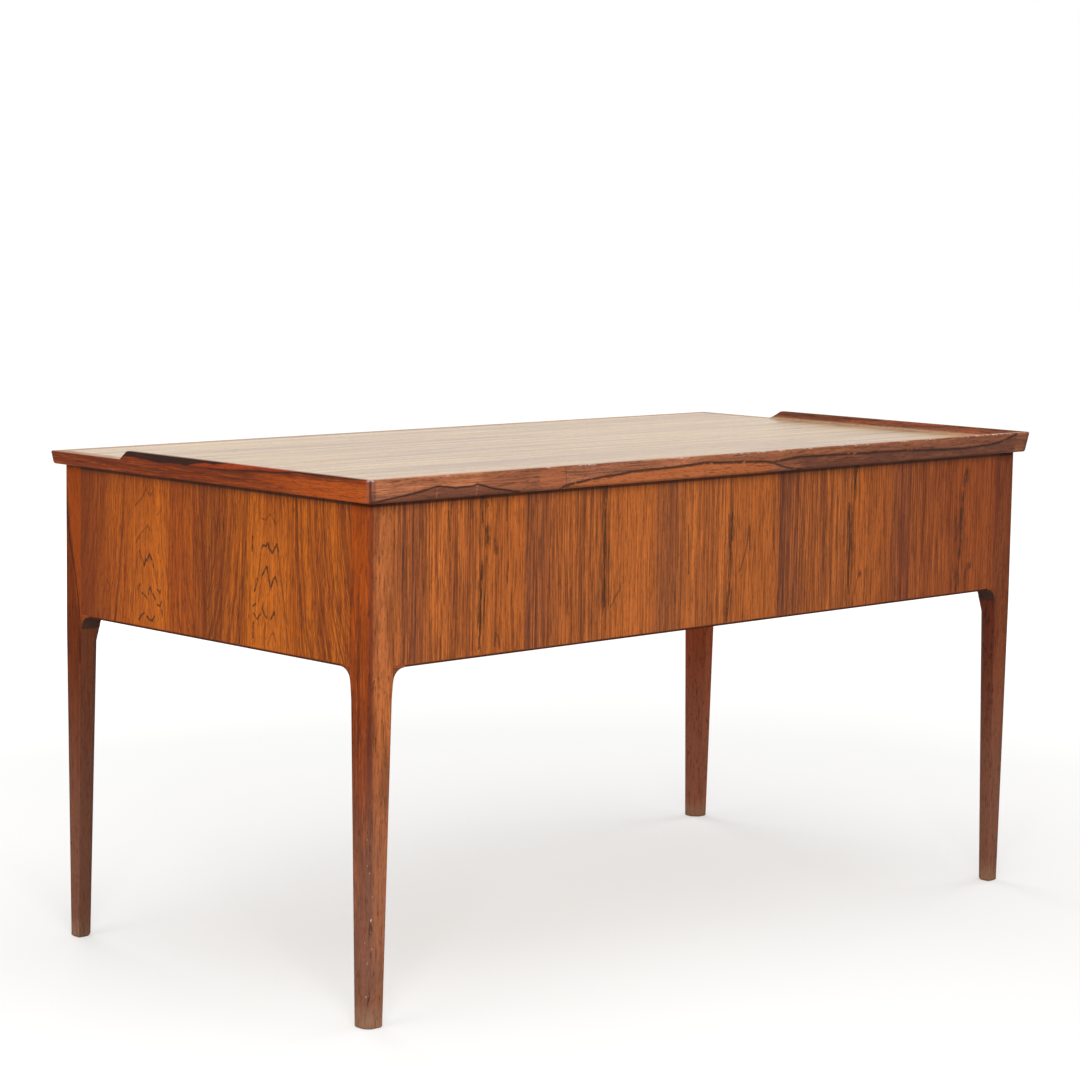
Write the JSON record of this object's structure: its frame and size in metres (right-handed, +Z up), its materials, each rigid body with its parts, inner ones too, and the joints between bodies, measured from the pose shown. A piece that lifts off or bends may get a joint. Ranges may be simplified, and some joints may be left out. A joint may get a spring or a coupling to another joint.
{
  "type": "writing desk",
  "caption": "Veneered writing desk with a raised edge round the top, tapered legs and sliding drawers either side of and above the knee space.",
  "frame": {"origin": "on the floor under the middle of the desk's bounding box", "axes": "+X to the seated user's right along the desk, +Y towards the closed back, +Z up; drawers open towards -Y"},
  "size_m": [1.39, 0.713, 0.73],
  "materials": {
    "rosewood_top": "bleached rosewood veneer, satin lacquer",
    "rosewood_moulding": "solid rosewood, oiled",
    "rosewood_solid": "solid rosewood, oiled, pale worn feet",
    "rosewood_veneer": "figured rosewood veneer, oiled",
    "drawer_oak": "planed oak",
    "plywood": "thin plywood"
  },
  "bodies": {
    "carcass": {"back_panel": "rosewood_veneer", "back_panel_lipping": "rosewood_solid", "bank_bottom_left": "plywood", "bank_bottom_right": "plywood", "bank_rail_left": "rosewood_solid", "bank_rail_right": "rosewood_solid", "corner_brackets": "rosewood_solid", "end_panel_left": "rosewood_veneer", "end_panel_lipping_left": "rosewood_solid", "end_panel_lipping_right": "rosewood_solid", "end_panel_right": "rosewood_veneer", "front_top_rail": "rosewood_solid", "leg_back_left": "rosewood_solid", "leg_back_right": "rosewood_solid", "leg_front_left": "rosewood_solid", "leg_front_right": "rosewood_solid", "moulding_back": "rosewood_moulding", "moulding_front": "rosewood_moulding", "moulding_left": "rosewood_moulding", "moulding_right": "rosewood_moulding", "partition_left": "rosewood_veneer", "partition_lippings": "rosewood_solid", "partition_right": "rosewood_veneer", "runners_centre": "drawer_oak", "runners_left": "drawer_oak", "runners_right": "drawer_oak", "top_cleats": "drawer_oak", "top_panel": "rosewood_top"},
    "drawer_left_upper": {"drawer_left_upper_back": "drawer_oak", "drawer_left_upper_bottom": "plywood", "drawer_left_upper_front": "rosewood_veneer", "drawer_left_upper_pull": "rosewood_solid", "drawer_left_upper_side_left": "drawer_oak", "drawer_left_upper_side_right": "drawer_oak"},
    "drawer_left_lower": {"drawer_left_lower_back": "drawer_oak", "drawer_left_lower_bottom": "plywood", "drawer_left_lower_front": "rosewood_veneer", "drawer_left_lower_pull": "rosewood_solid", "drawer_left_lower_side_left": "drawer_oak", "drawer_left_lower_side_right": "drawer_oak"},
    "drawer_right_upper": {"drawer_right_upper_back": "drawer_oak", "drawer_right_upper_bottom": "plywood", "drawer_right_upper_front": "rosewood_veneer", "drawer_right_upper_pull": "rosewood_solid", "drawer_right_upper_side_left": "drawer_oak", "drawer_right_upper_side_right": "drawer_oak"},
    "drawer_right_lower": {"drawer_right_lower_back": "drawer_oak", "drawer_right_lower_bottom": "plywood", "drawer_right_lower_front": "rosewood_veneer", "drawer_right_lower_pull": "rosewood_solid", "drawer_right_lower_side_left": "drawer_oak", "drawer_right_lower_side_right": "drawer_oak"},
    "drawer_centre": {"drawer_centre_back": "drawer_oak", "drawer_centre_bottom": "plywood", "drawer_centre_front": "rosewood_veneer", "drawer_centre_pull": "rosewood_solid", "drawer_centre_side_left": "drawer_oak", "drawer_centre_side_right": "drawer_oak"}
  },
  "joints": [
    {"name": "left_upper_slide", "type": "slide", "parent": "carcass", "child": "drawer_left_upper", "axis": [0, -1, 0], "range_m": [0, 0.4]},
    {"name": "left_lower_slide", "type": "slide", "parent": "carcass", "child": "drawer_left_lower", "axis": [0, -1, 0], "range_m": [0, 0.4]},
    {"name": "right_upper_slide", "type": "slide", "parent": "carcass", "child": "drawer_right_upper", "axis": [0, -1, 0], "range_m": [0, 0.4]},
    {"name": "right_lower_slide", "type": "slide", "parent": "carcass", "child": "drawer_right_lower", "axis": [0, -1, 0], "range_m": [0, 0.4]},
    {"name": "centre_slide", "type": "slide", "parent": "carcass", "child": "drawer_centre", "axis": [0, -1, 0], "range_m": [0, 0.4]}
  ]
}
